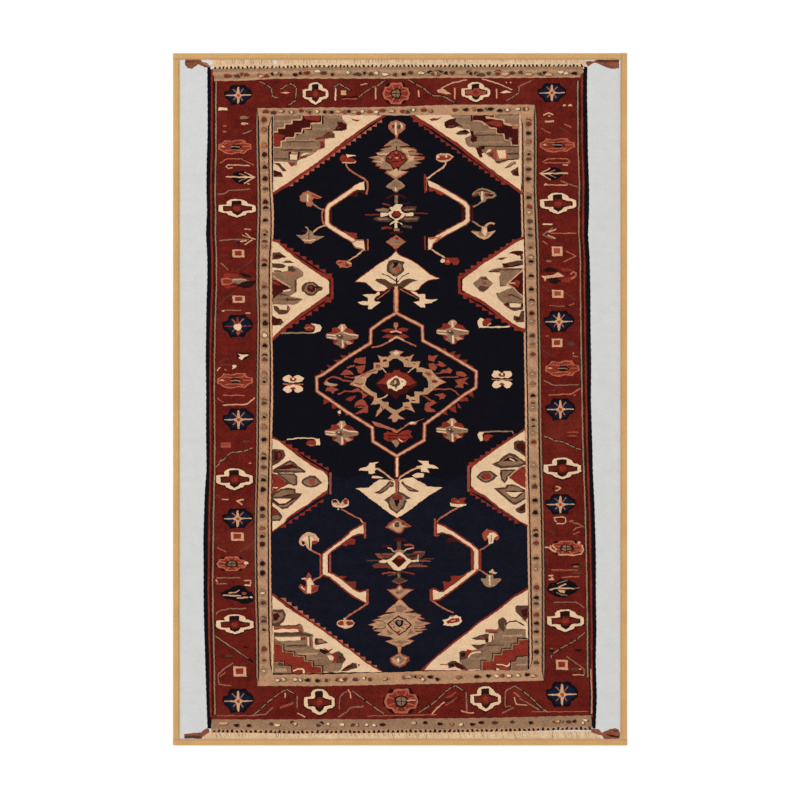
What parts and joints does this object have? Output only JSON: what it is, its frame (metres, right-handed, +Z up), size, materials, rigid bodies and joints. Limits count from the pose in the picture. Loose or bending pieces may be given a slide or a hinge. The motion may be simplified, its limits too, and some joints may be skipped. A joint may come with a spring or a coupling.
{
  "type": "area rug",
  "caption": "Rectangular printed area rug with a traditional medallion design, felt cushion, grip backing and stitched edge tape.",
  "frame": {"origin": "on the floor, under the middle of the rug", "axes": "+Z up through the rug, printed side up; +Y along its length; +X across its width"},
  "size_m": [1.6, 2.44, 0.0095],
  "materials": {
    "printed_pile": "matte",
    "edge_tape": "matte",
    "seam_thread": "satin",
    "cushion_felt": "matte",
    "grip_backing": "matte"
  },
  "bodies": {
    "root": {"printed_cloth": "printed_pile", "cushion_felt": "cushion_felt", "grip_backing": "grip_backing", "edge_tape_left": "edge_tape", "edge_tape_right": "edge_tape", "edge_tape_top": "edge_tape", "edge_tape_bottom": "edge_tape", "needle_thread_left": "seam_thread", "needle_thread_right": "seam_thread", "needle_thread_top": "seam_thread", "needle_thread_bottom": "seam_thread", "bobbin_thread_left": "seam_thread", "bobbin_thread_right": "seam_thread", "bobbin_thread_top": "seam_thread", "bobbin_thread_bottom": "seam_thread"}
  },
  "joints": []
}
